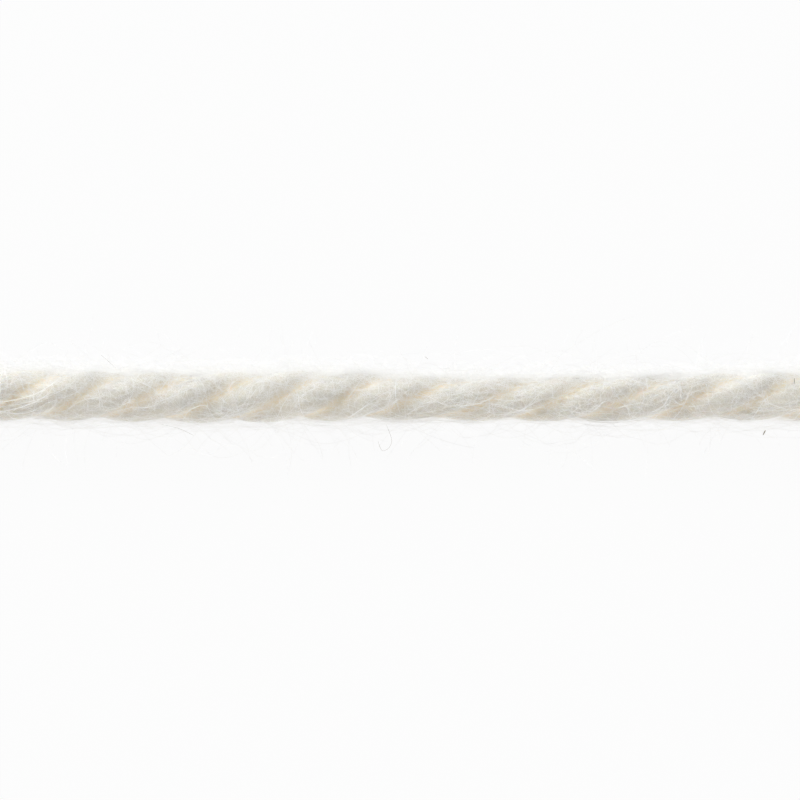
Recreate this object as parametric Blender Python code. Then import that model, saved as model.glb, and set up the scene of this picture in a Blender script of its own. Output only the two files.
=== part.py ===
"""A cut length of chunky knitting yarn: three plies of wool, twisted together.

The yarn lies along X, on the plane z = 0, with its middle at the origin.
Units are metres. The twist is a left-handed one, which spinners call an S twist.
"""

import math

import bmesh
import bpy
import numpy as np

MM = 0.001

# Driving dimensions
YARN_WIDTH = 3.6 * MM  # over the crowns of the plies, where the yarn has its usual girth
PLIES = 3
LAY = 14.5 * MM  # the length in which a ply goes once round the yarn
TURNS = 5
LENGTH = TURNS * LAY

# One ply in the yarn's cross-section
PLY_ARC_RADIUS = 1.3 * MM  # of a ply's outer face, which is rounder than the yarn itself
GROOVE_DEPTH = 0.22 * MM  # of the crease between two plies, below where their faces would meet
GROOVE_WIDTH = math.radians(11)  # of that crease, as an angle round the yarn, on either side

# How the yarn lies
GROOVE_ON_TOP = 1.48 * MM  # where a crease crosses the top line, nearest to the middle
PRESSED_FLAT = 0.12 * MM  # how far the table flattens each crown that it touches

# How fine the faces are
STEPS_IN_A_TURN = 30
POINTS_ON_A_PLY = 10
SHARP_FOLD = math.radians(50)  # a fold steeper than this, as at the cut ends, is shaded as an edge

# Hand-spun wool is uneven. One row for each place along the yarn:
# its girth as a share of the usual one, how far it sways to +Y, and how far the twist has slipped to +X.
UNEVEN_COLUMNS = ("x_mm", "girth", "sway_mm", "slip_mm")
UNEVEN = (
    (-36.25, 1.06, 0.10, 0.0),
    (-27.0, 1.06, 0.16, 0.1),
    (-20.0, 1.05, 0.07, -0.4),
    (-13.0, 1.06, -0.03, -0.3),
    (-6.0, 1.05, 0.10, -0.3),
    (0.0, 0.96, -0.02, -0.6),
    (6.0, 0.92, -0.13, 0.3),
    (12.0, 0.95, -0.10, 0.3),
    (18.0, 0.95, -0.09, 0.4),
    (24.0, 1.00, 0.08, 0.6),
    (30.0, 1.04, 0.04, 0.2),
    (36.25, 1.05, 0.00, 0.0),
)

WOOL_COLOUR = (0.80, 0.78, 0.72, 1.0)
WOOL_ROUGHNESS = 0.9


def clear_scene():
    for ob in list(bpy.data.objects):
        bpy.data.objects.remove(ob, do_unlink=True)


def uneven(column, x):
    """The value of one column of UNEVEN at x, on a smooth curve through its rows."""
    rows = np.array(UNEVEN)
    places = rows[:, 0] * MM
    values = rows[:, UNEVEN_COLUMNS.index(column)]
    slopes = np.gradient(values, places)
    i = int(np.clip(np.searchsorted(places, x) - 1, 0, len(places) - 2))
    span = places[i + 1] - places[i]
    t = min(max((x - places[i]) / span, 0.0), 1.0)
    rise = values[i + 1] - values[i]
    start_pull = slopes[i] * span - rise
    end_pull = rise - slopes[i + 1] * span
    return values[i] + rise * t + t * (1 - t) * (start_pull * (1 - t) + end_pull * t)


def section_radius(angle):
    """The yarn's radius at an angle from the crown of a ply, up to the crease beside it."""
    half_ply = math.pi / PLIES
    off_axis = YARN_WIDTH / 2 - PLY_ARC_RADIUS
    arc = math.sqrt(PLY_ARC_RADIUS**2 - (off_axis * math.sin(angle)) ** 2)
    to_crease = (half_ply - abs(angle)) / GROOVE_WIDTH
    return off_axis * math.cos(angle) + arc - GROOVE_DEPTH * math.exp(-(to_crease**2))


def section_points():
    """The outline of the plied yarn, in the YZ plane, with the crown of a ply at +Y."""
    points = []
    for ply in range(PLIES):
        for k in range(POINTS_ON_A_PLY):
            from_crown = math.tau / PLIES * (k / POINTS_ON_A_PLY - 0.5)
            radius = section_radius(from_crown)
            angle = math.tau * ply / PLIES + from_crown
            points.append((0.0, radius * math.cos(angle), radius * math.sin(angle)))
    return points


def twisted_sweep(name):
    """The outline, swept along X and turned left-handed as it goes, as a closed mesh."""
    steps = STEPS_IN_A_TURN * TURNS
    bm = bmesh.new()
    outline = bm.faces.new([bm.verts.new(p) for p in section_points()])
    bmesh.ops.spin(
        bm,
        geom=[outline],
        cent=(0.0, 0.0, 0.0),
        axis=(1.0, 0.0, 0.0),
        dvec=(LENGTH / steps, 0.0, 0.0),
        angle=-math.tau * TURNS,
        steps=steps,
    )
    bmesh.ops.recalc_face_normals(bm, faces=bm.faces)
    mesh = bpy.data.meshes.new(name)
    bm.to_mesh(mesh)
    bm.free()
    return mesh


def twist_angle(x):
    """How far the yarn is turned at x, so that a crease crosses the top at GROOVE_ON_TOP."""
    crease_from_crown = math.pi / PLIES
    on_top = math.pi / 2
    along = x - GROOVE_ON_TOP - uneven("slip_mm", x) * MM
    return on_top - crease_from_crown - math.tau * along / LAY


def lay_down(mesh):
    """Turns, thickens and sways the straight sweep as wool does, and rests it on z = 0."""
    for vertex in mesh.vertices:
        swept = -math.tau * vertex.co.x / LAY
        x = vertex.co.x - LENGTH / 2
        girth = uneven("girth", x)
        turn = twist_angle(x) - swept
        y = girth * (vertex.co.y * math.cos(turn) - vertex.co.z * math.sin(turn))
        z = girth * (vertex.co.y * math.sin(turn) + vertex.co.z * math.cos(turn))
        height = girth * YARN_WIDTH / 2 - PRESSED_FLAT
        vertex.co = (x, y + uneven("sway_mm", x) * MM, max(z + height, 0.0))


def centre_across(mesh):
    """Moves the yarn so that its extent from side to side has its middle on the X axis."""
    across = [v.co.y for v in mesh.vertices]
    middle = (min(across) + max(across)) / 2
    for vertex in mesh.vertices:
        vertex.co.y -= middle


def wool_material():
    material = bpy.data.materials.new("wool")
    material.use_nodes = True
    shader = material.node_tree.nodes["Principled BSDF"]
    shader.inputs["Base Color"].default_value = WOOL_COLOUR
    shader.inputs["Roughness"].default_value = WOOL_ROUGHNESS
    shader.inputs["Metallic"].default_value = 0.0
    material.diffuse_color = WOOL_COLOUR
    return material


def make_yarn(collection):
    mesh = twisted_sweep("yarn")
    lay_down(mesh)
    centre_across(mesh)
    mesh.materials.append(wool_material())
    mesh.shade_smooth()
    mesh.set_sharp_from_angle(angle=SHARP_FOLD)
    yarn = bpy.data.objects.new("yarn", mesh)
    collection.objects.link(yarn)
    return yarn


def main():
    clear_scene()
    collection = bpy.data.collections.new("knitting_yarn")
    bpy.context.scene.collection.children.link(collection)
    make_yarn(collection)


main()
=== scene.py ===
# %% [markdown]
# # A length of chunky knitting yarn
#
# This is a cut length of undyed wool yarn. A spinner makes three loose strands, called plies, and
# twists them together. The wool's own fibres are 25 to 30 thousandths of a millimetre thick, and
# they don't all stay in: some lie across the plies, some stand off as fuzz, and a few fly away.
#
# The construction is a solid with the true outer shape. This script dresses it in wool. The yarn's
# own sizes are in millimetres, because yarn is small, and turn to metres where a mesh is made. The
# table and the lights are in metres.

# %% Load the frame
import math

import bpy
import numpy as np
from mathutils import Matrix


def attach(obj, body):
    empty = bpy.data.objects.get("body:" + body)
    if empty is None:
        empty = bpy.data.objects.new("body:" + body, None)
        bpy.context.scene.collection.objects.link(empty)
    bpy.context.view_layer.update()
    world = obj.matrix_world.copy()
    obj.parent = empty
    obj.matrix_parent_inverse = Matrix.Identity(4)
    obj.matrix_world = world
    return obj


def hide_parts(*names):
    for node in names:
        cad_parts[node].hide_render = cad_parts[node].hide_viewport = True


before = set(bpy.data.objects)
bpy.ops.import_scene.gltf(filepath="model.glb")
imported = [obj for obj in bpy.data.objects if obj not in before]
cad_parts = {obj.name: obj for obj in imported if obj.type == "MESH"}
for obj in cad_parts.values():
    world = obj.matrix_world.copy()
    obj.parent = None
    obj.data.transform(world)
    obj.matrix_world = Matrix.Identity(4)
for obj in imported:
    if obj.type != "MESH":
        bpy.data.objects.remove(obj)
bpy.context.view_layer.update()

MM = 0.001
YARN_NODE = "yarn"

# %% [markdown]
# ## The yarn's own sizes
#
# Spinners measure a yarn by its width, its number of plies and its lay, the length in which a ply
# goes once round. Hand-spun wool is uneven, so a short table says how its girth, its sway and its
# twist change along it. A smooth curve through the rows gives the value anywhere. A random wobble
# would be shorter to write, but then nobody could say where the yarn is thick or thin.

# %% Driving sizes, in millimetres
YARN_WIDTH = 3.6  # over the crowns of the plies
PLIES = 3
LAY = 14.5
TURNS = 5
LENGTH = LAY * TURNS
PLY_ARC_RADIUS = 1.3  # of a ply's outer face
GROOVE_DEPTH = 0.22
GROOVE_WIDTH = math.radians(11)
GROOVE_ON_TOP = 1.48  # where a crease crosses the top line, nearest to the middle
PRESSED_FLAT = 0.12  # how far each crown sinks into itself on the table
CREASE_GLOW_SPREAD = math.radians(17)  # how wide the painted warm light is, each side of a crease

# One row for each place along the yarn: its girth as a share of the usual one, how far it sways to
# +Y, and how far the twist has slipped to +X. The solid has the same rows.
UNEVEN_COLUMNS = ("x", "girth", "sway", "slip")
UNEVEN = (
    (-36.25, 1.06, 0.10, 0.0),
    (-27.0, 1.06, 0.16, 0.1),
    (-20.0, 1.05, 0.07, -0.4),
    (-13.0, 1.06, -0.03, -0.3),
    (-6.0, 1.05, 0.10, -0.3),
    (0.0, 0.96, -0.02, -0.6),
    (6.0, 0.92, -0.13, 0.3),
    (12.0, 0.95, -0.10, 0.3),
    (18.0, 0.95, -0.09, 0.4),
    (24.0, 1.00, 0.08, 0.6),
    (30.0, 1.04, 0.04, 0.2),
    (36.25, 1.05, 0.00, 0.0),
)
print(f"yarn {LENGTH} mm long, {YARN_WIDTH} mm wide, {PLIES} plies, one turn in {LAY} mm")


# %% Smooth curves through the rows
def smooth_through(places, values, at):
    """The value everywhere in at, on a smooth curve that has these values at these places."""
    slopes = np.gradient(values, places)
    i = np.clip(np.searchsorted(places, at) - 1, 0, len(places) - 2)
    span = places[i + 1] - places[i]
    t = np.clip((at - places[i]) / span, 0, 1)
    rise = values[i + 1] - values[i]
    start_pull = slopes[i] * span - rise
    end_pull = rise - slopes[i + 1] * span
    return values[i] + rise * t + t * (1 - t) * (start_pull * (1 - t) + end_pull * t)


def uneven(column, x):
    """One column of UNEVEN at every x."""
    rows = np.array(UNEVEN)
    return smooth_through(rows[:, 0], rows[:, UNEVEN_COLUMNS.index(column)], x)


print(f"in the middle the girth is {uneven('girth', 0.0):.2f} of the usual one")

# %% [markdown]
# ## Round the yarn
#
# Nearly everything on a yarn is easiest to place by two numbers: how far along it is, and at what
# angle round the axis. These functions turn such a place into a point. The angle starts at the +Y
# side and goes over the top. The plies turn the other way as x grows, which makes an S twist.


# %% Places on the yarn
def twist_angle(x):
    """The angle of the first ply's crown at x."""
    along = x - GROOVE_ON_TOP - uneven("slip", x)
    return math.pi / 2 - math.pi / PLIES - math.tau * along / LAY


def crown_distance(x, angle):
    """The angle from the nearest ply's crown."""
    share = math.tau / PLIES
    return (angle - twist_angle(x) + share / 2) % share - share / 2


def surface_radius(x, angle, arc_radius=PLY_ARC_RADIUS, groove_depth=GROOVE_DEPTH, soft_crease=0.0):
    """How far the yarn's surface is from its axis: a crown on each ply, and a crease between two.

    The usual values give the solid's own surface. A soft_crease rounds the bottom of the crease.
    """
    to_crease = np.hypot(math.pi / PLIES - np.abs(crown_distance(x, angle)), soft_crease)
    from_crown = math.pi / PLIES - to_crease
    off_axis = YARN_WIDTH / 2 - arc_radius
    arc = np.sqrt(arc_radius**2 - (off_axis * np.sin(from_crown)) ** 2)
    groove = groove_depth * np.exp(-((to_crease / GROOVE_WIDTH) ** 2))
    return uneven("girth", x) * (off_axis * np.cos(from_crown) + arc - groove)


def crease_glow_share(x, angle):
    """How far a place is into a crease, from 0 on a crown to 1: its share of painted warm light."""
    to_crease = math.pi / PLIES - np.abs(crown_distance(x, angle))
    return np.exp(-((to_crease / CREASE_GLOW_SPREAD) ** 2))


print(f"in the middle a crown is at {math.degrees(twist_angle(0.0)):.0f} degrees")


# %% The yarn's axis and the points round it
SURVEY_STATIONS = 600  # along the yarn
SURVEY_POINTS = 120  # round it


def side_middle():
    """The middle of the yarn's extent from side to side, before it is centred."""
    stations = np.linspace(-LENGTH / 2, LENGTH / 2, SURVEY_STATIONS)
    x, angle = np.meshgrid(stations, np.linspace(0, math.tau, SURVEY_POINTS))
    y = uneven("sway", x) + surface_radius(x, angle) * np.cos(angle)
    return (y.min() + y.max()) / 2


SIDE_SHIFT = side_middle()


def axis_point(x):
    """The yarn's axis at x: aside as it sways, and up by its radius less what the table flattens."""
    up = uneven("girth", x) * YARN_WIDTH / 2 - PRESSED_FLAT
    return np.stack([x, uneven("sway", x) - SIDE_SHIFT, up], -1)


def out_from_axis(x, angle, radius):
    """Points at this distance from the axis."""
    spot = axis_point(x)
    spot[..., 1] += radius * np.cos(angle)
    spot[..., 2] += radius * np.sin(angle)
    return spot


def above_table(points, clear=0.0):
    """The points, with those that are too low raised to this height."""
    points[..., 2] = np.maximum(points[..., 2], clear)
    return points


print(f"axis shifted {SIDE_SHIFT:.3f} mm, to keep the yarn in the middle")

# %% [markdown]
# ## The camera
#
# A long lens straight above, so that the yarn runs across the whole view and both cut ends lie just
# outside it. A short lens near the yarn would be simpler to place, but it would show the middle
# thicker than the sides.

# %% Camera
VIEW_WIDTH = 57.6  # four turns of the twist, nearly
CAMERA_HEIGHT = 600.0
VIEW_CENTRE_Y = -0.25
SENSOR_WIDTH = 36.0
NEAREST_SEEN = 10.0

camera_data = bpy.data.cameras.new("camera")
camera_data.sensor_width = SENSOR_WIDTH
camera_data.lens = SENSOR_WIDTH * (CAMERA_HEIGHT - YARN_WIDTH / 2) / VIEW_WIDTH
camera_data.clip_start = NEAREST_SEEN * MM
camera = bpy.data.objects.new("camera", camera_data)
camera.location = (0.0, VIEW_CENTRE_Y * MM, CAMERA_HEIGHT * MM)
bpy.context.scene.collection.objects.link(camera)
bpy.context.scene.camera = camera
print(f"lens {camera_data.lens:.0f} mm, view {VIEW_WIDTH} mm wide")

# %% [markdown]
# ## Meshes from arrays
#
# The wool is thousands of fibres, so they are made as arrays with numpy and joined in a few meshes.
# Blender's hair would be quicker to lay, but it isn't a mesh, and this wool has to be one: it goes
# to other programs too. `foreach_set` fills a mesh at once, where a loop in Python would take
# minutes.


# %% Mesh helpers
def mesh_piece(name, points, faces, maps, numbers, smooth):
    """A mesh object from points in mm, arrays of faces, their maps, and named numbers at the points."""
    mesh = bpy.data.meshes.new(name)
    mesh.vertices.add(len(points))
    mesh.vertices.foreach_set("co", (points * MM).astype(np.float32).ravel())
    sides = np.concatenate([np.full(len(f), f.shape[1]) for f in faces])
    corners = np.concatenate([f.ravel() for f in faces])
    mesh.loops.add(len(corners))
    mesh.loops.foreach_set("vertex_index", corners.astype(np.int32))
    mesh.polygons.add(len(sides))
    mesh.polygons.foreach_set("loop_start", (np.cumsum(sides) - sides).astype(np.int32))
    layer = mesh.uv_layers.new(name="OFBake")  # the map that colours are baked to
    corner_maps = np.concatenate([m.reshape(-1, 2) for m in maps])
    layer.uv.foreach_set("vector", corner_maps.astype(np.float32).ravel())
    for label, values in numbers.items():
        attribute = mesh.attributes.new(label, "FLOAT", "POINT")
        attribute.data.foreach_set("value", values.astype(np.float32).ravel())
    mesh.update(calc_edges=True)
    if smooth:
        mesh.shade_smooth()
    else:
        mesh.shade_flat()
    piece = bpy.data.objects.new(name, mesh)
    bpy.context.scene.collection.objects.link(piece)
    return piece


def triangles_in(piece):
    """How many triangles the piece's faces make."""
    return sum(len(p.vertices) - 2 for p in piece.data.polygons)


print("meshes before the wool:", len(bpy.data.meshes))


# %% Tubes as grids of points
def grid_faces(rows, columns):
    """Faces of a tube: rows of points, each row a closed ring of columns points."""
    i, j = np.meshgrid(np.arange(rows - 1), np.arange(columns), indexing="ij")
    after = (j + 1) % columns
    low, high = i * columns, (i + 1) * columns
    return np.stack([low + j, high + j, high + after, low + after], -1).reshape(-1, 4)


def grid_map(rows, columns, low, high):
    """The map of those faces: along the tube to the right, round it upwards, between two corners."""
    i, j = np.meshgrid(np.arange(rows - 1), np.arange(columns), indexing="ij")
    u, v = np.stack([i, i + 1, i + 1, i], -1), np.stack([j, j, j + 1, j + 1], -1)
    return np.stack([
        low[0] + (high[0] - low[0]) * u / (rows - 1),
        low[1] + (high[1] - low[1]) * v / columns,
    ], -1)


print("faces between two rings of 3 points:", len(grid_faces(2, 3)))

# %% [markdown]
# ## Smooth random numbers
#
# Wool is lumpy, and its down is thick in one place and thin in the next. Both need numbers that are
# random but change smoothly from place to place. Blender has such a noise for one point at a time.
# This one takes a whole array: it gives each corner of a grid a random number, and blends between
# the eight corners round a point.

# %% Noise for arrays
LUMP_TABLE = 4096
LUMP_PRIMES = (374761393, 668265263, 2147483647)  # they send neighbouring corners far apart


def lumps(points, size, seed):
    """Numbers from -1 to 1 that change over about size (x, y, z) mm. Unequal sizes give streaks."""
    table = np.random.default_rng(seed).uniform(-1, 1, LUMP_TABLE)
    at = points / np.array(size)
    cell = np.floor(at).astype(np.int64)
    part = at - cell
    part = part * part * (3 - 2 * part)
    total = np.zeros(points.shape[:-1])
    for corner in np.ndindex(2, 2, 2):
        key = (cell + corner) @ np.array(LUMP_PRIMES)
        weight = np.prod(np.where(corner, part, 1 - part), axis=-1)
        total += weight * table[(key ^ (key >> 13)) % LUMP_TABLE]
    return total


print("noise at the origin:", lumps(np.zeros((1, 3)), (1, 1, 1), 0))

# %% [markdown]
# ## The plies
#
# Twisted hard against two others, a ply takes the shape of a slice of cake with soft corners. What
# shows is one lobed surface with three soft valleys that wind round it, so it is one closed skin
# here, a little inside the yarn's full width: the outermost fibres are pieces of their own. Three
# tubes would be truer, but they leave dark slits between them, which soft wool never shows. Its
# relief is low lumps, longer in x, because the twist of the plies and the twist of plying cancel
# out, so that the wool lies nearly along the yarn.

# %% Sizes of the skin
SKIN_STATIONS = 420  # along the yarn
SKIN_POINTS = 120  # round it
SKIN_INSET = 0.09  # of the skin under the yarn's full width
SKIN_ARC_RADIUS = 1.05  # rounder than the yarn's outline, which bridging fibres smooth
SKIN_SOFT_CREASE = math.radians(10)
RELIEF_SIZES = ((1.2, 0.35, 0.35), (3.0, 0.9, 0.9))
RELIEF_HEIGHTS = (0.006, 0.04)
CUT_ROUNDING = 0.5  # over this length the skin closes to its cut end
CUT_CLOSED = 0.004  # of that length is left, so that the last ring isn't a point
SKIN_MAP = ((0.005, 0.01), (0.995, 0.99))  # corners of the skin's map
CAP_MAP = 0.002  # both end caps are one spot of it
print("skin:", SKIN_STATIONS, "rings of", SKIN_POINTS, "points")


# %% Skin of the plies
def skin_radius(x, angle):
    """How far the skin is from the axis, before its inset and relief."""
    return surface_radius(x, angle, SKIN_ARC_RADIUS, 0.0, SKIN_SOFT_CREASE)


def make_strand():
    """The skin as a closed mesh, with a number at each point for its share of painted crease light."""
    x = np.linspace(-LENGTH / 2, LENGTH / 2, SKIN_STATIONS)[:, None]
    angle = twist_angle(x) + np.linspace(0, math.tau, SKIN_POINTS, endpoint=False)[None, :]
    radius = skin_radius(x, angle) - SKIN_INSET
    spots = out_from_axis(x + 0 * angle, angle, radius)
    for seed, (size, height) in enumerate(zip(RELIEF_SIZES, RELIEF_HEIGHTS)):
        radius = radius + height * lumps(spots, size, seed)
    closing = np.clip((LENGTH / 2 - np.abs(x)) / CUT_ROUNDING, CUT_CLOSED, 1)
    spots = above_table(out_from_axis(x + 0 * angle, angle, radius * np.sqrt(closing)))
    # Painted warm light for the creases: the material mixes the crease colour in by this number.
    crease = crease_glow_share(x, angle)
    ring = np.arange(SKIN_POINTS)
    caps = np.stack([ring, ring[::-1] + (SKIN_STATIONS - 1) * SKIN_POINTS])
    faces = [grid_faces(SKIN_STATIONS, SKIN_POINTS)[:, ::-1], caps]
    side_map = grid_map(SKIN_STATIONS, SKIN_POINTS, *SKIN_MAP)[:, :, ::-1]
    maps = [side_map, np.full((2, SKIN_POINTS, 2), CAP_MAP)]
    return mesh_piece("strand", spots.reshape(-1, 3), faces, maps, {"crease": crease.ravel()}, smooth=True)


strand = make_strand()
print("strand:", triangles_in(strand), "triangles")

# %% [markdown]
# ## The yarn as a cord
#
# The yarn is a limp cord: its path is its axis, which the solid follows too, and its length is what
# was cut.

# %% [markdown]
# ## Fibres
#
# One fibre is a thin tube along a line of points. Three sides are enough, because nobody can see
# their corners from where the whole yarn is seen. They stay flat: so few sides lose light when they
# are shaded as if they were round. Each ring of the tube is turned from the last one by the least
# angle, or the tube would pinch where the fibre curls.
#
# A real fibre is clear, and shows less than a solid tube of its own thickness. So most of them are
# drawn at about half their real thickness. Every fibre carries its tone, a number that its colour
# is mixed by.


# %% Tubes along many lines at once
FIBRE_SIDES = 3


def unit(vectors):
    """The same directions, with length 1."""
    return vectors / np.maximum(np.linalg.norm(vectors, axis=-1, keepdims=True), 1e-12)


def rings_round(lines, radii, rng):
    """Rings of points round lines, an array of (fibre, point, xyz)."""
    ahead = unit(np.gradient(lines, axis=1))
    side = unit(np.cross(ahead[:, 0], rng.normal(size=(len(lines), 3))))
    rings = np.empty((*lines.shape[:2], FIBRE_SIDES, 3))
    for k in range(lines.shape[1]):
        side = unit(side - (side * ahead[:, k]).sum(-1, keepdims=True) * ahead[:, k])
        up = np.cross(ahead[:, k], side)
        for corner in range(FIBRE_SIDES):
            turn = math.tau * corner / FIBRE_SIDES
            outwards = side * math.cos(turn) + up * math.sin(turn)
            rings[:, k, corner] = lines[:, k] + radii[:, k, None] * outwards
    return rings


print("a fibre has", FIBRE_SIDES, "sides")


# %% One mesh of many fibres
TIP_POINTS = 1.5  # over about so many points a fibre thins towards its tip
TIP_SECTION = 0.15  # share of a fibre's section that is left at its tip
TOUCHING = 0.001  # a fibre's lowest points stay this high over the table
FIBRE_CELL = (0.1, 0.9)  # the part of its own cell of the map that a fibre fills
TIP_SPOT = 0.05  # where in the cell its two ends are


def fibre_piece(name, bundles, seed):
    """One mesh of fibres. A bundle has lines, widths and tones, and its own number of points a line."""
    rng = np.random.default_rng(seed)
    across = math.ceil(math.sqrt(sum(len(lines) for lines, _, _ in bundles)))
    points, faces, ends, maps, end_maps, tones = [], [], [], [], [], []
    first = placed = 0
    for lines, widths, tone in bundles:
        count, long = lines.shape[:2]
        from_tip = np.minimum(np.arange(long), np.arange(long)[::-1])
        taper = np.sqrt(np.clip(from_tip / TIP_POINTS + TIP_SECTION, 0, 1))
        rings = above_table(rings_round(lines, widths[:, None] / 2 * taper, rng), TOUCHING)
        points.append(rings.reshape(-1, 3))
        tones.append(np.repeat(np.broadcast_to(tone, (count, long)).ravel(), FIBRE_SIDES))
        starts = first + np.arange(count) * long * FIBRE_SIDES
        faces.append((starts[:, None, None] + grid_faces(long, FIBRE_SIDES)).reshape(-1, 4))
        cell = placed + np.arange(count)
        low = np.stack([cell % across, cell // across], -1) / across
        inner, outer = (share / across for share in FIBRE_CELL)
        shape = grid_map(long, FIBRE_SIDES, (inner, inner), (outer, outer))
        maps.append((low[:, None, None, None] + shape).reshape(-1, 4, 2))
        cap = np.arange(FIBRE_SIDES)
        ends += [starts[:, None] + cap[::-1], starts[:, None] + (long - 1) * FIBRE_SIDES + cap]
        end_maps += [np.repeat((low + TIP_SPOT / across)[:, None], FIBRE_SIDES, 1)] * 2
        first += count * long * FIBRE_SIDES
        placed += count
    all_faces = [np.concatenate(faces)[:, ::-1], np.concatenate(ends)[:, ::-1]]
    all_maps = [np.concatenate(maps)[:, ::-1], np.concatenate(end_maps)]
    numbers = {"tone": np.concatenate(tones)}
    return mesh_piece(name, np.concatenate(points), all_faces, all_maps, numbers, smooth=False)


print(f"a fibre's tip keeps {TIP_SECTION:.0%} of its section")

# %% [markdown]
# ## Fibres that lie on the yarn
#
# A fibre on the surface follows it: it starts somewhere, heads mostly along the yarn, wanders, and
# has the small waves that wool is known for, its crimp. It is easiest to draw on the unrolled
# surface, as a line with a heading, and to wrap that line round the yarn afterwards. Its height
# over the surface says what it is: nearly nothing for a fibre spun into a ply, a few tenths of a
# millimetre for fuzz, and a hump in the middle for a loop that has worked loose.


# %% Lines on the surface
GOLDEN_SHARE = (math.sqrt(5) - 1) / 2  # steps of this share of a turn spread starts evenly
START_WOBBLE = 0.1  # of a turn, at most, added to such a start
START_PAST = 1.0  # lines start up to here past the cut ends, and bundle leaves out the ones too far
DRIFT = 0.25  # spread of a line's steady turn in radians, from its middle to either end


def wandering_lines(rng, count, points, length, heading, crimp, waves, round_about=None):
    """Lines on the unrolled surface, as x and angle, and each point's place on its line, from 0 to 1.

    A line's heading is its angle from the yarn's length, given as a mean and a spread. The crimp is
    how far its waves turn it, and the waves are the least and the most of their lengths. Lines
    start evenly all round, or near the angle round_about[0] with a spread of round_about[1].
    """
    share = np.linspace(0, 1, points)[None, :]
    lengths = rng.uniform(*length, (count, 1))
    drift = rng.normal(0, DRIFT, (count, 1)) * (2 * share - 1)
    wave_lengths = rng.uniform(*waves, (count, 1))
    wave_starts = rng.uniform(0, 1, (count, 1))
    wave = np.sin(math.tau * (share * lengths / wave_lengths + wave_starts))
    course = rng.normal(heading[0], heading[1], (count, 1)) + drift + crimp * wave
    course += math.pi * (rng.random((count, 1)) < 0.5)
    step = lengths / (points - 1)
    order = np.arange(count)[:, None]
    start_x = (LENGTH + 2 * START_PAST) * ((order + rng.random((count, 1))) / count - 0.5)
    start_angle = math.tau * (order * GOLDEN_SHARE + START_WOBBLE * rng.random((count, 1)))
    if round_about:
        start_angle = rng.normal(*round_about, (count, 1))
    x = start_x + np.cumsum(np.cos(course) * step, 1)
    angle = start_angle + np.cumsum(np.sin(course) * step, 1) / (YARN_WIDTH / 2)
    return x, angle, share


print(f"each line starts {math.degrees(math.tau * GOLDEN_SHARE):.0f} degrees round from the last")


# %% Heights over the surface
def on_surface(x, angle, height, bridging):
    """Points over the surface. A bridging of 1 spans the creases, and 0 follows the skin into them."""
    across = uneven("girth", x) * YARN_WIDTH / 2
    under = skin_radius(x, angle)
    return out_from_axis(x, angle, under + bridging * (across - under) + height)


def diving(rng, count, heights, dive, share, flatness):
    """Heights along fibres that lie flat in the middle and go down by dive at both ends."""
    return rng.uniform(*heights, (count, 1)) - dive * (2 * share - 1) ** flatness


def humps(top, share, roundness, foot):
    """Heights along loops: the foot at both ends, and the top over it in the middle."""
    return top * np.sin(math.pi * share) ** roundness + foot


def bundle(rng, lines, widths, tones, past):
    """Lines with widths and tones, less those that stand past the cut ends by more than past."""
    kept = np.abs(lines[..., 0]).max(1) < LENGTH / 2 + past
    tones = np.broadcast_to(tones, lines.shape[:2])
    return lines[kept], rng.uniform(*widths, kept.sum()), tones[kept]


def random_tones(rng, lines):
    """One tone for each fibre, from 0 for white to 1 for cream."""
    return rng.random((len(lines), 1))


crown = twist_angle(0.0)
crease_depth = skin_radius(0.0, crown) - skin_radius(0.0, crown + math.pi / PLIES)
print(f"the skin's creases are {crease_depth:.2f} mm deep")

# %% [markdown]
# ## Fibres in the plies and across them
#
# Most fibres are spun into a ply and lie nearly along the yarn. In a crease they are painted the
# deeper cream that stands in for the warm light there. Others lie across the plies, many fine ones
# and some bold ones. All of them dive into the wool at both ends, so that no loose end shows. A
# pattern painted on the skin could give the first ones, but not the crossing ones, which stand clear
# of the creases.

# %% Fibres spun into the plies
SPUN_FIBRES = 1300
SPUN_WIDTHS = (0.010, 0.015)
SPUN_HEIGHTS = (-0.11, -0.07)  # about as deep as the skin, so that they half sink in it
SPUN_DIVE = 0.15
PLAIN_SHARE = 0.25  # of a spun fibre's tone that is its own; the rest is the painted warm light of its crease

spun_rng = np.random.default_rng(101)
x, angle, share = wandering_lines(
    spun_rng,
    SPUN_FIBRES,
    points=11,
    length=(5, 11),
    heading=(-0.42, 0.14),
    crimp=0.10,
    waves=(1.5, 4),
)
height = diving(spun_rng, SPUN_FIBRES, SPUN_HEIGHTS, SPUN_DIVE, share, flatness=4)
lines = on_surface(x, angle, height, bridging=0.1)
# A spun fibre in a crease takes most of its tone from the painted warm light there.
tones = PLAIN_SHARE * random_tones(spun_rng, lines) + (1 - PLAIN_SHARE) * crease_glow_share(x, angle)
spun = bundle(spun_rng, lines, SPUN_WIDTHS, tones, past=0.6)
spun_fibres = fibre_piece("spun_fibres", [spun], 1)
print("spun_fibres:", len(spun[0]), "fibres,", triangles_in(spun_fibres), "triangles")

# %% Fibres that lie across the plies
FINE_CROSS_FIBRES = 900
FINE_CROSS_WIDTHS = (0.010, 0.015)
FINE_CROSS_HEIGHTS = (-0.10, 0.10)
FINE_CROSS_DIVE = 0.3
BOLD_CROSS_FIBRES = 130
BOLD_CROSS_WIDTHS = (0.020, 0.034)
BOLD_CROSS_HEIGHTS = (-0.05, 0.14)
BOLD_CROSS_DIVE = 0.35

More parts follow.
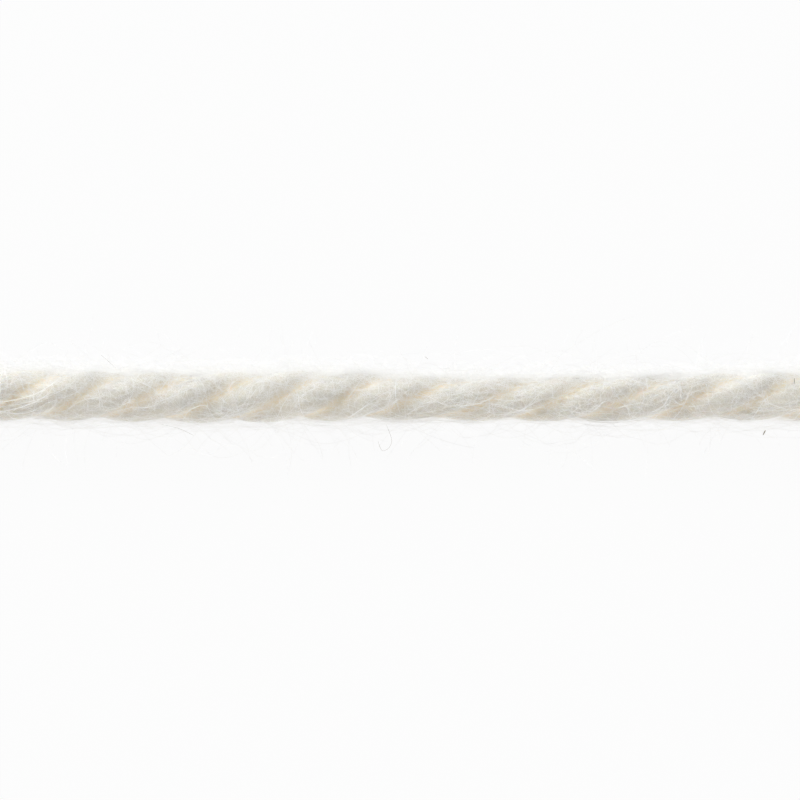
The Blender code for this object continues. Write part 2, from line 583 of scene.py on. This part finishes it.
cross_rng = np.random.default_rng(102)
x, angle, share = wandering_lines(
    cross_rng,
    FINE_CROSS_FIBRES,
    points=13,
    length=(3, 9),
    heading=(-0.4, 0.9),
    crimp=0.35,
    waves=(1.2, 3.0),
)
height = diving(cross_rng, FINE_CROSS_FIBRES, FINE_CROSS_HEIGHTS, FINE_CROSS_DIVE, share, flatness=4)
lines = on_surface(x, angle, height, bridging=0.35)
fine = bundle(cross_rng, lines, FINE_CROSS_WIDTHS, random_tones(cross_rng, lines), past=0.6)
x, angle, share = wandering_lines(
    cross_rng,
    BOLD_CROSS_FIBRES,
    points=17,
    length=(2.5, 9),
    heading=(-0.5, 0.9),
    crimp=0.3,
    waves=(1.5, 5.0),
)
height = diving(cross_rng, BOLD_CROSS_FIBRES, BOLD_CROSS_HEIGHTS, BOLD_CROSS_DIVE, share, flatness=6)
lines = on_surface(x, angle, height, bridging=0.6)
bold = bundle(cross_rng, lines, BOLD_CROSS_WIDTHS, tones=0.0, past=0.6)
print("fibres across the plies:", len(fine[0]), "fine,", len(bold[0]), "bold")

# %% [markdown]
# ## Strays
#
# A few coarse white fibres are what the eye picks out: one lies in a long bow over a crease, some
# cross in a star, and one stands up like a hook. Chance would not put them there, so each is a row
# of places that it passes, and a smooth curve runs through them.

# %% Strays that the eye picks out
STRAY_POINTS = 15
STRAY_WIDTHS = (0.034, 0.050)
STRAY_LIFTS = (0.15, 0.35)  # how high they lie
# Each row is one fibre. It passes these places: x in mm, and the angle round the yarn in degrees.
STRAYS = (
    ((-28.6, 95), (-28.7, 66), (-28.5, 31), (-28.2, 61), (-28.3, 91)),
    ((-29.6, 120), (-27.3, 108), (-25.3, 92), (-23.7, 72)),
    ((-29.3, 106), (-27.5, 99), (-25.9, 84), (-24.6, 60)),
    ((-29.2, 128), (-27.8, 118), (-26.3, 104), (-25.0, 84)),
    ((-22.4, 100), (-22.4, 121)),
    ((-19.1, 57), (-19.2, 83), (-19.8, 120), (-20.2, 140)),
    ((-17.7, 89), (-17.1, 71), (-16.5, 44)),
    ((-17.5, 100), (-16.3, 88), (-14.9, 70)),
    ((-15.5, 139), (-15.2, 119), (-14.4, 107), (-13.7, 107)),
    ((-12.3, 78), (-12.1, 62), (-11.6, 50)),
    ((-11.8, 100), (-11.3, 142)),
    ((-7.9, 86), (-8.5, 112), (-8.9, 142)),
    ((-7.3, 86), (-7.2, 111), (-6.7, 144)),
    ((-3.9, 138), (-3.0, 118), (-1.5, 88), (-0.5, 73)),
    ((-3.6, 135), (-2.4, 108), (-1.4, 98)),
    ((-0.3, 57), (-0.3, 90), (0.0, 125)),
    ((1.3, 76), (2.3, 90), (3.3, 104), (4.7, 104), (5.8, 98), (6.8, 83)),
    ((6.4, 93), (6.4, 122)),
    ((6.6, 101), (6.8, 135)),
    ((8.2, 116), (8.8, 111), (9.4, 98), (9.8, 84), (10.5, 69)),
    ((15.4, 74), (15.8, 94), (16.3, 109), (16.5, 128)),
    ((15.6, 111), (16.3, 104), (17.2, 99)),
    ((17.9, 123), (18.8, 110), (19.5, 79), (20.2, 59)),
    ((19.6, 144), (20.3, 111), (20.8, 75)),
    ((17.7, 36), (17.8, 70)),
    ((20.1, 62), (20.2, 99)),
    ((25.9, 49), (26.0, 79), (26.2, 99), (26.8, 108), (27.7, 115)),
    ((25.2, 147), (25.7, 119), (26.2, 97), (27.0, 83)),
)


def curve_through(passes):
    """Each coordinate at STRAY_POINTS points of a smooth curve through the places of passes."""
    places = np.linspace(0, 1, len(passes))
    at = np.linspace(0, 1, STRAY_POINTS)
    return [smooth_through(places, np.array(column), at) for column in zip(*passes)]


x, degrees = np.array([curve_through(passes) for passes in STRAYS]).transpose(1, 0, 2)
height = cross_rng.uniform(*STRAY_LIFTS, (len(STRAYS), 1))
lines = on_surface(x, np.radians(degrees), height, bridging=0.7)
strays = bundle(cross_rng, lines, STRAY_WIDTHS, tones=0.0, past=0.6)
cross_fibres = fibre_piece("cross_fibres", [fine, bold, strays], 2)
print("cross_fibres:", len(strays[0]), "of them strays,", triangles_in(cross_fibres), "triangles")

# %% [markdown]
# ## Fuzz
#
# Short curly fibres cover the whole yarn and head every way. They hide the tidy spinning under them,
# which is what makes wool look soft. A noisy bump on the skin would be cheaper, but it would leave
# the yarn's edge sharp.

# %% Fuzz
FUZZ_FIBRES = 3000
FUZZ_WIDTHS = (0.010, 0.015)
FUZZ_TOP = 0.24  # the mean height of a fibre's top
FUZZ_MOST = 0.9
FUZZ_LEAN = 0.7  # how much higher it stands on one side, and lower on the other

fuzz_rng = np.random.default_rng(103)
x, angle, share = wandering_lines(
    fuzz_rng,
    FUZZ_FIBRES,
    points=9,
    length=(2, 6),
    heading=(0.0, 1.5),
    crimp=0.7,
    waves=(0.8, 2.2),
)
lean = 1 + FUZZ_LEAN * np.cos(angle)
top = np.minimum(fuzz_rng.exponential(FUZZ_TOP, (FUZZ_FIBRES, 1)), FUZZ_MOST) * lean
lines = on_surface(x, angle, humps(top, share, roundness=0.8, foot=-0.18), bridging=0.4)
fuzz_hairs = bundle(fuzz_rng, lines, FUZZ_WIDTHS, random_tones(fuzz_rng, lines), past=0.8)
fuzz = fibre_piece("fuzz", [fuzz_hairs], 3)
print("fuzz:", len(fuzz_hairs[0]), "fibres,", triangles_in(fuzz), "triangles")

# %% [markdown]
# ## The downy side
#
# On one side of this yarn the fibres stand up as a thick white down. It hides the plies' edge, so
# the yarn fades into the air on that side. More fuzz all round would hide the twist too. The down
# is thick in one place and thin in the next, so some of its fibres are left out by the noise.

# %% Down
DOWN_FIBRES = 4600
DOWN_WIDTHS = (0.013, 0.019)
DOWN_SIDE = (math.radians(20), math.radians(26))  # its middle and its spread round the yarn
DOWN_LEAST = 0.1  # the lowest top of a fibre
DOWN_TOP = 0.4  # the mean height of the tops over that
DOWN_MOST = 1.2
DOWN_PATCH = (3.0, 1.0, 1.0)  # size of its thick and thin patches
DOWN_COVER = 0.8  # share of the fibres that stay, over thick and thin patches
DOWN_PATCHINESS = 0.6  # how far that share goes up and down

down_rng = np.random.default_rng(107)
x, angle, share = wandering_lines(
    down_rng,
    DOWN_FIBRES,
    points=8,
    length=(1.5, 4.5),
    heading=(0.0, 1.5),
    crimp=0.7,
    waves=(0.8, 2.2),
    round_about=DOWN_SIDE,
)
top = DOWN_LEAST + np.minimum(down_rng.exponential(DOWN_TOP, (DOWN_FIBRES, 1)), DOWN_MOST)
lines = on_surface(x, angle, humps(top, share, roundness=0.7, foot=-0.15), bridging=0.7)
middles = lines[:, lines.shape[1] // 2]
cover = DOWN_COVER + DOWN_PATCHINESS * lumps(middles, DOWN_PATCH, 8)
lines = lines[down_rng.random(DOWN_FIBRES) < cover]
down_hairs = bundle(down_rng, lines, DOWN_WIDTHS, random_tones(down_rng, lines), past=0.8)
down = fibre_piece("down", [down_hairs], 6)
print("down:", len(down_hairs[0]), "fibres,", triangles_in(down), "triangles")

# %% [markdown]
# ## Hairs that stand off
#
# Round any wool yarn there is a halo. Most of it is loops, whose two ends are held in the plies, and
# some is free ends. A loop is a line on the surface with a high hump. A free end leaves the surface
# and then goes its own way, so it is drawn in space: a heading that turns a little at each step.

# %% Loops
LOOPS = 720
LOOP_LEAST = 0.2  # the lowest top of a loop
LOOP_TOP = 0.55  # the mean height of the tops over that
LOOP_MOST = 2.4
HAIR_WIDTHS = (0.011, 0.020)
HAIR_TONE = 0.1  # most of a hair's tone

loop_rng = np.random.default_rng(104)
x, angle, share = wandering_lines(
    loop_rng,
    LOOPS,
    points=22,
    length=(4, 13),
    heading=(0.0, 0.35),
    crimp=0.22,
    waves=(1.5, 5),
)
top = LOOP_LEAST + np.minimum(loop_rng.exponential(LOOP_TOP, (LOOPS, 1)), LOOP_MOST)
lines = on_surface(x, angle, humps(top, share, roundness=0.9, foot=-0.05), bridging=0.6)
loops = bundle(loop_rng, lines, HAIR_WIDTHS, HAIR_TONE * random_tones(loop_rng, lines), past=1.0)
print("loops:", len(loops[0]))

# %% Free ends
SHORT_HAIRS = 760
LONG_HAIRS = 70
SIDE_REACH_LIMIT = 6.2  # no hair stands further off to a side
TOP_REACH_LIMIT = 7.5
TURN_KEPT = 0.8  # share of its turning that a hair keeps from step to step
TURN_ADDED = 0.35  # new turning at each step, as a share of the hair's curl
TABLE_BOUNCE = 0.2  # share of its fall that a hair turns to a rise where it meets the table
LYING_HEIGHT = 0.03  # of a hair on the table
LYING_WIDTHS = (0.028, 0.036)
# Three coarse hairs that lie on the table beside the yarn. Each passes these places, x and y in mm.
LYING_HAIRS = (
    ((-21.6, 3.0), (-21.0, 2.5), (-20.5, 2.0)),
    ((-17.3, -2.0), (-16.0, -2.3), (-14.9, -2.8)),
    ((-1.0, -2.0), (-0.6, -3.1), (-0.8, -3.7), (-1.3, -3.9), (-1.6, -3.2)),
)


def free_hairs(rng, count, points, length, lift, curl):
    """Hairs that leave the surface, more or less steeply by their lift, and then turn step by step."""
    x = rng.uniform(-LENGTH / 2, LENGTH / 2, count)
    angle = rng.uniform(0, math.tau, count)
    root = on_surface(x, angle, height=-0.1, bridging=0.2)
    outwards = np.stack([0 * x, np.cos(angle), np.sin(angle)], -1)
    along = np.stack([rng.choice((-1.0, 1.0), count), 0 * x, 0 * x], -1)
    heading = unit(along + outwards * rng.uniform(*lift, (count, 1)))
    turning = rng.normal(0, curl, (count, 3))
    step = (rng.uniform(*length, count) / (points - 1))[:, None]
    lines = np.empty((count, points, 3))
    lines[:, 0] = root
    for k in range(1, points):
        turning = TURN_KEPT * turning + rng.normal(0, TURN_ADDED * curl, (count, 3))
        heading = unit(heading + turning * step)
        lines[:, k] = lines[:, k - 1] + heading * step
        low = lines[:, k, 2] < LYING_HEIGHT
        heading[low, 2] = np.abs(heading[low, 2]) * TABLE_BOUNCE
        lines[low, k, 2] = LYING_HEIGHT
    near = (np.abs(lines[..., 1]).max(1) < SIDE_REACH_LIMIT) & (lines[..., 2].max(1) < TOP_REACH_LIMIT)
    return bundle(rng, lines[near], HAIR_WIDTHS, HAIR_TONE * random_tones(rng, lines[near]), past=2.0)


hair_rng = np.random.default_rng(105)
short_hairs = free_hairs(hair_rng, SHORT_HAIRS, points=12, length=(1.5, 5.0), lift=(0.2, 1.4), curl=0.35)
long_hairs = free_hairs(hair_rng, LONG_HAIRS, points=26, length=(6.0, 14.0), lift=(0.15, 0.7), curl=0.12)
x, y = np.array([curve_through(passes) for passes in LYING_HAIRS]).transpose(1, 0, 2)
lines = np.stack([x, y, np.full(x.shape, LYING_HEIGHT)], -1)
lying_hairs = bundle(hair_rng, lines, LYING_WIDTHS, tones=1.0, past=0.6)
halo = fibre_piece("halo", [loops, short_hairs, long_hairs, lying_hairs], 4)
print("halo:", len(short_hairs[0]), "short,", len(long_hairs[0]), "long,", triangles_in(halo), "triangles")

# %% [markdown]
# ## Bits of plant
#
# Hand-spun wool keeps a few bits of dry grass from the field. Each is a short dark stick in the
# fuzz, on the yarn or beside it. It is drawn as a fibre too, only thicker and straight. They are so
# few that each has a row.

# %% Bits
BIT_POINTS = 6
# Each row is one bit: its middle as x, y and z, its length, its slant in degrees and its width.
BITS = (
    (26.3, -2.6, 0.15, 0.40, 62, 0.09),
    (28.3, 1.1, 3.75, 0.45, 90, 0.055),
    (1.9, 2.8, 0.10, 0.3, 140, 0.03),
)

x, y, z, long, slant, wide = (np.array(column)[:, None] for column in zip(*BITS))
along = long * np.linspace(-0.5, 0.5, BIT_POINTS)
x = x + along * np.cos(np.radians(slant))
y = y + along * np.sin(np.radians(slant))
lines = np.stack([x, y, z + 0 * along], -1)
bits = fibre_piece("bits", [(lines, wide[:, 0], np.zeros(x.shape))], 7)
print("bits:", len(BITS))

# %% [markdown]
# ## The cut ends
#
# Scissors leave a brush. The fibres at the end of each ply are no longer held, so they spread a
# little, and they end at slightly different lengths. They are drawn thicker than the others, as
# small locks of fibres, because a brush of single ones would need several times as many.

# %% Brushes at both ends
BRUSH_FIBRES = 750  # at each end
BRUSH_WIDTHS = (0.030, 0.055)
BRUSH_POINTS = 8
BRUSH_ROOTS = (0.8, 2.6)  # how far inside the cut they start
BRUSH_TIPS = (-0.3, 0.55)  # how far past the cut they end
LONGER_SHARE = 0.08  # of them that the scissors missed
LONGER_MOST = 1.2  # by which those are longer
BRUSH_SWIRL = 0.25  # how far a tip turns round the yarn, in radians
BRUSH_SPREAD = 0.4  # how far a tip moves outwards, at most, as a share of its radius
BRUSH_FILL = 0.95  # of the yarn's radius holds their roots


def brush(rng, side):
    """Cut fibres at one end, from inside the plies to just past the cut."""
    count = BRUSH_FIBRES
    inner = side * (LENGTH / 2 - rng.uniform(*BRUSH_ROOTS, count))
    longer = (rng.random(count) < LONGER_SHARE) * rng.uniform(0, LONGER_MOST, count)
    tip = side * (LENGTH / 2 + rng.uniform(*BRUSH_TIPS, count) + longer)
    share = np.linspace(0, 1, BRUSH_POINTS)[None, :]
    x = inner[:, None] + (tip - inner)[:, None] * share
    from_first = rng.uniform(0, math.tau, (count, 1))
    angle = twist_angle(x) + from_first + rng.normal(0, BRUSH_SWIRL, (count, 1)) * share
    spread = 1 + rng.uniform(0, BRUSH_SPREAD, (count, 1)) * share**2.5
    depth = np.sqrt(rng.uniform(0, 1, (count, 1)))
    lines = out_from_axis(x, angle, BRUSH_FILL * depth * spread * surface_radius(x, angle))
    return bundle(rng, lines, BRUSH_WIDTHS, random_tones(rng, lines), past=3.0)


brush_rng = np.random.default_rng(106)
cut_brushes = fibre_piece("cut_brushes", [brush(brush_rng, side) for side in (-1, 1)], 5)
print("cut_brushes:", triangles_in(cut_brushes), "triangles")

# %% [markdown]
# ## Wool colour
#
# Undyed wool is a warm white. It isn't one colour: each fibre has its own tone, from nearly white to
# cream. The creases are painted a deeper cream, a painted glow that stands in for the warm light
# scattered in them. One node group holds that mix, because the plies and all the fibres share it. It
# puts out a colour only, so that each material keeps its own shader.


# %% Wool colours, as shares of the light that comes back
WHITE_WOOL = (0.95, 0.944, 0.93, 1)
CREAM_WOOL = (0.94, 0.915, 0.86, 1)
PLY_WOOL = (0.705, 0.687, 0.635, 1)
# Painted warm light for the creases of the plies, not a colour of the wool itself.
PAINTED_CREASE_GLOW = (0.92, 0.82, 0.64, 1)
SPUN_WHITE = (0.83, 0.815, 0.77, 1)
# The spun fibres' cream: their own tone, and the painted warm light of the creases.
SPUN_CREAM_AND_CREASE_GLOW = (0.93, 0.855, 0.71, 1)
HAIR_GREY = (0.5, 0.485, 0.45, 1)
DRY_GRASS = (0.30, 0.27, 0.20, 1)
print("the whitest wool gives back", WHITE_WOOL[:3])


# %% Colour group
def new_group(name, inputs, outputs):
    """A shader node group with these sockets, and its input and output nodes."""
    group = bpy.data.node_groups.new(name, "ShaderNodeTree")
    for label, kind, value in inputs:
        socket = group.interface.new_socket(label, in_out="INPUT", socket_type=kind)
        socket.default_value = value
    for label, kind in outputs:
        group.interface.new_socket(label, in_out="OUTPUT", socket_type=kind)
    return group, group.nodes.new("NodeGroupInput"), group.nodes.new("NodeGroupOutput")


def wool_colour_group():
    """A mix of two wool colours by an amount, with patches that shift it a little."""
    group, given, out = new_group(
        "wool_colour",
        [
            ("White", "NodeSocketColor", WHITE_WOOL),
            ("Cream", "NodeSocketColor", CREAM_WOOL),
            ("Amount", "NodeSocketFloat", 0.3),
            ("Patch Size", "NodeSocketFloat", 300.0),
            ("Patchiness", "NodeSocketFloat", 0.3),
        ],
        [("Color", "NodeSocketColor")],
    )
    nodes, link = group.nodes, group.links.new
    place = nodes.new("ShaderNodeTexCoord")
    patches = nodes.new("ShaderNodeTexNoise")
    patches.inputs["Detail"].default_value = 3.0
    centred = nodes.new("ShaderNodeMath")
    centred.operation = "SUBTRACT"
    centred.inputs[1].default_value = 0.5
    patchy = nodes.new("ShaderNodeMath")
    patchy.operation = "MULTIPLY_ADD"
    patchy.use_clamp = True
    mix = nodes.new("ShaderNodeMix")
    mix.data_type = "RGBA"
    link(place.outputs["Object"], patches.inputs["Vector"])
    link(given.outputs["Patch Size"], patches.inputs["Scale"])
    link(patches.outputs["Fac"], centred.inputs[0])
    link(centred.outputs[0], patchy.inputs[0])
    link(given.outputs["Patchiness"], patchy.inputs[1])
    link(given.outputs["Amount"], patchy.inputs[2])
    link(patchy.outputs[0], mix.inputs["Factor"])
    link(given.outputs["White"], mix.inputs["A"])
    link(given.outputs["Cream"], mix.inputs["B"])
    link(mix.outputs["Result"], out.inputs["Color"])
    return group


WOOL_COLOUR = wool_colour_group()
print("group:", WOOL_COLOUR.name, "with", len(WOOL_COLOUR.nodes), "nodes")


# %% Shader with the colour group
SHEEN_ROUGHNESS = 0.5


def wool_material(name, roughness, specular, sheen):
    """A wool material with its shader and its colour group, ready for the links of its own."""
    material = bpy.data.materials.new(name)
    material.use_nodes = True
    nodes, link = material.node_tree.nodes, material.node_tree.links.new
    shader = nodes["Principled BSDF"]
    shader.inputs["Roughness"].default_value = roughness
    shader.inputs["Specular IOR Level"].default_value = specular
    shader.inputs["Sheen Weight"].default_value = sheen
    shader.inputs["Sheen Roughness"].default_value = SHEEN_ROUGHNESS
    colour = nodes.new("ShaderNodeGroup")
    colour.node_tree = WOOL_COLOUR
    link(colour.outputs["Color"], shader.inputs["Base Color"])
    return material, nodes, link, shader, colour


print("sheen roughness of all the wool:", SHEEN_ROUGHNESS)

# %% [markdown]
# ## The plies' material
#
# Light goes into wool and comes out again a little further on, which is why its shadows are never
# dark. Subsurface scattering does that. The bump gives the finest fibres, which are too many to
# model: a noise squeezed so that its grains are long in x.

# %% Material of the plies
SUBSURFACE_REACH = (0.5 * MM, 0.42 * MM, 0.3 * MM)  # of red, green and blue light
GRAIN_SCALE = (700.0, 9000.0, 9000.0)  # grains in a metre
GRAIN_HEIGHT = 0.015 * MM
GRAIN_STRENGTH = 0.6
CROWN_CREAM = 0.15  # amount of the crease colour on a crown, where a crease has all of its painted warm light


def ply_material():
    material, nodes, link, shader, colour = wool_material(
        "ply_wool",
        roughness=0.85,
        specular=0.25,
        sheen=0.7,
    )
    # The crease number paints the creases a warmer cream, which stands in for the light scattered in them.
    crease = nodes.new("ShaderNodeAttribute")
    crease.attribute_name = "crease"
    amount = nodes.new("ShaderNodeMapRange")
    amount.inputs["To Min"].default_value = CROWN_CREAM
    amount.inputs["To Max"].default_value = 1.0
    place = nodes.new("ShaderNodeTexCoord")
    squeeze = nodes.new("ShaderNodeMapping")
    squeeze.inputs["Scale"].default_value = GRAIN_SCALE
    grain = nodes.new("ShaderNodeTexNoise")
    grain.inputs["Scale"].default_value = 1.0
    grain.inputs["Detail"].default_value = 4.0
    bump = nodes.new("ShaderNodeBump")
    bump.inputs["Distance"].default_value = GRAIN_HEIGHT
    bump.inputs["Strength"].default_value = GRAIN_STRENGTH
    colour.inputs["White"].default_value = PLY_WOOL
    colour.inputs["Cream"].default_value = PAINTED_CREASE_GLOW
    link(crease.outputs["Fac"], amount.inputs["Value"])
    link(amount.outputs["Result"], colour.inputs["Amount"])
    link(place.outputs["Object"], squeeze.inputs["Vector"])
    link(squeeze.outputs["Vector"], grain.inputs["Vector"])
    link(grain.outputs["Fac"], bump.inputs["Height"])
    link(bump.outputs["Normal"], shader.inputs["Normal"])
    shader.inputs["Subsurface Weight"].default_value = 1.0
    shader.inputs["Subsurface Radius"].default_value = SUBSURFACE_REACH
    shader.inputs["Subsurface Scale"].default_value = 1.0
    return material


strand.data.materials.append(ply_material())
print("strand's material:", strand.data.materials[0].name)

# %% [markdown]
# ## The fibres' material
#
# A fibre's tone picks its colour between white and cream, and the group's patches shift it along
# the yarn. The fibres that stand off are clearer than the ones that lie tight, so some of the light
# goes through them. The ones that lie across the plies are smoother, so they shine most.


# %% Material of the fibres
MOST_CREAM = 0.4  # of a loose fibre's cream


def fibre_material(name, white, cream, most_cream, clearness, roughness=0.55, specular=0.25, sheen=0.1):
    """Wool for fibres: their tone mixes white with at most this much cream."""
    material, nodes, link, shader, colour = wool_material(name, roughness, specular, sheen)
    shader.inputs["Subsurface Weight"].default_value = clearness
    shader.inputs["Subsurface Radius"].default_value = SUBSURFACE_REACH
    shader.inputs["Subsurface Scale"].default_value = 1.0
    tone = nodes.new("ShaderNodeAttribute")
    tone.attribute_name = "tone"
    amount = nodes.new("ShaderNodeMapRange")
    amount.inputs["To Max"].default_value = most_cream
    colour.inputs["White"].default_value = white
    colour.inputs["Cream"].default_value = cream
    link(tone.outputs["Fac"], amount.inputs["Value"])
    link(amount.outputs["Result"], colour.inputs["Amount"])
    return material


spun_wool = fibre_material("spun_wool", SPUN_WHITE, SPUN_CREAM_AND_CREASE_GLOW, most_cream=1.0, clearness=0.0)
bright_wool = fibre_material(
    "bright_wool",
    WHITE_WOOL,
    CREAM_WOOL,
    MOST_CREAM,
    clearness=0.0,
    roughness=0.35,
    specular=0.5,
    sheen=0.3,
)
loose_wool = fibre_material("loose_wool", WHITE_WOOL, CREAM_WOOL, MOST_CREAM, clearness=0.6)
down_wool = fibre_material("down_wool", WHITE_WOOL, CREAM_WOOL, most_cream=0.1, clearness=0.6)
hair_wool = fibre_material("hair_wool", WHITE_WOOL, HAIR_GREY, most_cream=1.0, clearness=0.5)
dry_grass = fibre_material("dry_grass", DRY_GRASS, DRY_GRASS, most_cream=1.0, clearness=0.0)

spun_fibres.data.materials.append(spun_wool)
cross_fibres.data.materials.append(bright_wool)
fuzz.data.materials.append(loose_wool)
cut_brushes.data.materials.append(loose_wool)
down.data.materials.append(down_wool)
halo.data.materials.append(hair_wool)
bits.data.materials.append(dry_grass)
print("materials:", [m.name for m in bpy.data.materials])

# %% [markdown]
# ## Who rides on what
#
# The yarn is one body. The strand stands for the solid, so it takes the solid's place, and the
# fibres ride on the same body.

# %% Ride and replace
fibre_pieces = [spun_fibres, cross_fibres, fuzz, down, halo, bits, cut_brushes]
for piece in [strand, *fibre_pieces]:
    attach(piece, "root")
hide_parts(YARN_NODE)
print("pieces:", [strand.name, *(piece.name for piece in fibre_pieces)])

# %% [markdown]
# ## Table and light
#
# The table is a plain, pale one, lit from inside as a light table is, so that the white wool shows
# against white and casts nearly no shadow. One broad soft light comes from behind the yarn and
# above, and a weak one from the front keeps the near side from going grey. The white room fills in
# the rest: its walls are brighter than its ceiling, which gives the round yarn a soft shade along
# its top. These sizes are in metres.

# %% Table
TABLE_SIZE = 4.0
TABLE_COLOUR = (0.03, 0.03, 0.03, 1)
TABLE_GLOW = 0.95

table_mesh = bpy.data.meshes.new("table")
half = TABLE_SIZE / 2
corners = [(-half, -half, 0), (half, -half, 0), (half, half, 0), (-half, half, 0)]
table_mesh.from_pydata(corners, [], [(0, 1, 2, 3)])
table = bpy.data.objects.new("table", table_mesh)
bpy.context.scene.collection.objects.link(table)
table_material = bpy.data.materials.new("table_white")
table_material.use_nodes = True
table_shader = table_material.node_tree.nodes["Principled BSDF"]
table_shader.inputs["Base Color"].default_value = TABLE_COLOUR
table_shader.inputs["Roughness"].default_value = 1.0
table_shader.inputs["Specular IOR Level"].default_value = 0.0
table_shader.inputs["Emission Color"].default_value = (1, 1, 1, 1)
table_shader.inputs["Emission Strength"].default_value = TABLE_GLOW
table_mesh.materials.append(table_material)
print(f"table {TABLE_SIZE} m wide, glowing at {TABLE_GLOW}")

# %% Light
KEY_PLACE = (-0.42, 0.60, 0.38)
KEY_WATTS = 6.0
KEY_COLOUR = (0.93, 0.97, 1.0)
FILL_PLACE = (0.05, -0.75, 0.25)
FILL_WATTS = 1.05
LIGHT_SIZE = 0.45


def soft_light(name, place, watts, colour):
    """A round area light that faces the yarn."""
    data = bpy.data.lights.new(name, "AREA")
    data.shape = "DISK"
    data.size = LIGHT_SIZE
    data.energy = watts
    data.color = colour
    light = bpy.data.objects.new(name, data)
    light.location = place
    across, up = math.hypot(place[0], place[1]), place[2]
    light.rotation_euler = (math.atan2(across, up), 0, math.atan2(-place[1], -place[0]) - math.pi / 2)
    bpy.context.scene.collection.objects.link(light)


soft_light("key", KEY_PLACE, KEY_WATTS, KEY_COLOUR)
soft_light("fill", FILL_PLACE, FILL_WATTS, (1, 1, 1))
print(f"key light {KEY_WATTS} W, fill light {FILL_WATTS} W")

# %% Room
ROOM_WHITE = (0.95, 0.95, 0.95, 1)
WALL_STRENGTH = 1.2
CEILING_STRENGTH = 0.275

world = bpy.data.worlds.new("room")
world.use_nodes = True
background = world.node_tree.nodes["Background"]
view_direction = world.node_tree.nodes.new("ShaderNodeTexCoord")
height_share = world.node_tree.nodes.new("ShaderNodeSeparateXYZ")
brightness = world.node_tree.nodes.new("ShaderNodeMapRange")
brightness.interpolation_type = "SMOOTHSTEP"
brightness.inputs["To Min"].default_value = WALL_STRENGTH
brightness.inputs["To Max"].default_value = CEILING_STRENGTH
background.inputs["Color"].default_value = ROOM_WHITE
world.node_tree.links.new(view_direction.outputs["Generated"], height_share.inputs["Vector"])
world.node_tree.links.new(height_share.outputs["Z"], brightness.inputs["Value"])
world.node_tree.links.new(brightness.outputs["Result"], background.inputs["Strength"])
bpy.context.scene.world = world
bpy.context.scene.view_settings.view_transform = "Standard"
print(f"walls {WALL_STRENGTH}, ceiling {CEILING_STRENGTH}")
